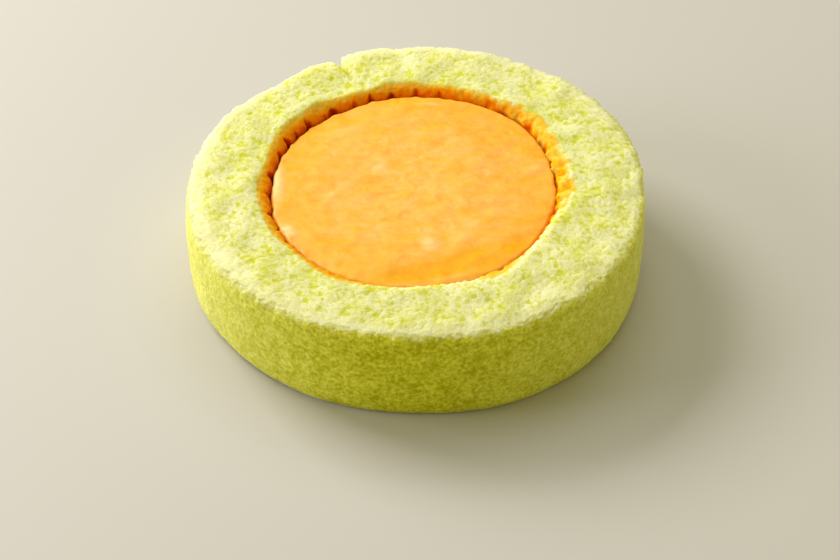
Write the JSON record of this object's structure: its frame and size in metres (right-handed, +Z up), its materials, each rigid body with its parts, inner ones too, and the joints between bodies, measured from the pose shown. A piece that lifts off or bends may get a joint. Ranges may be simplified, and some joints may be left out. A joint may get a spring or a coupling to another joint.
{
  "type": "melon roll cake",
  "caption": "Slice of melon roll cake lying on its cut face: a ring of pale green sponge with a browned, crimped inner skin round an orange melon cream filling.",
  "frame": {"origin": "middle of the slice's base, on the surface it lies on", "axes": "+Z up through the slice, -Y towards the front that the picture shows, +X to its right; the strip's ends meet at the back left"},
  "size_m": [0.1009, 0.1006, 0.0235],
  "materials": {
    "sponge": "soft open melon sponge crumb, browned on the inner skin",
    "cream": "smooth semi-gloss orange melon cream"
  },
  "bodies": {
    "root": {"sponge_ring": "sponge", "cream_filling": "cream"}
  },
  "joints": []
}
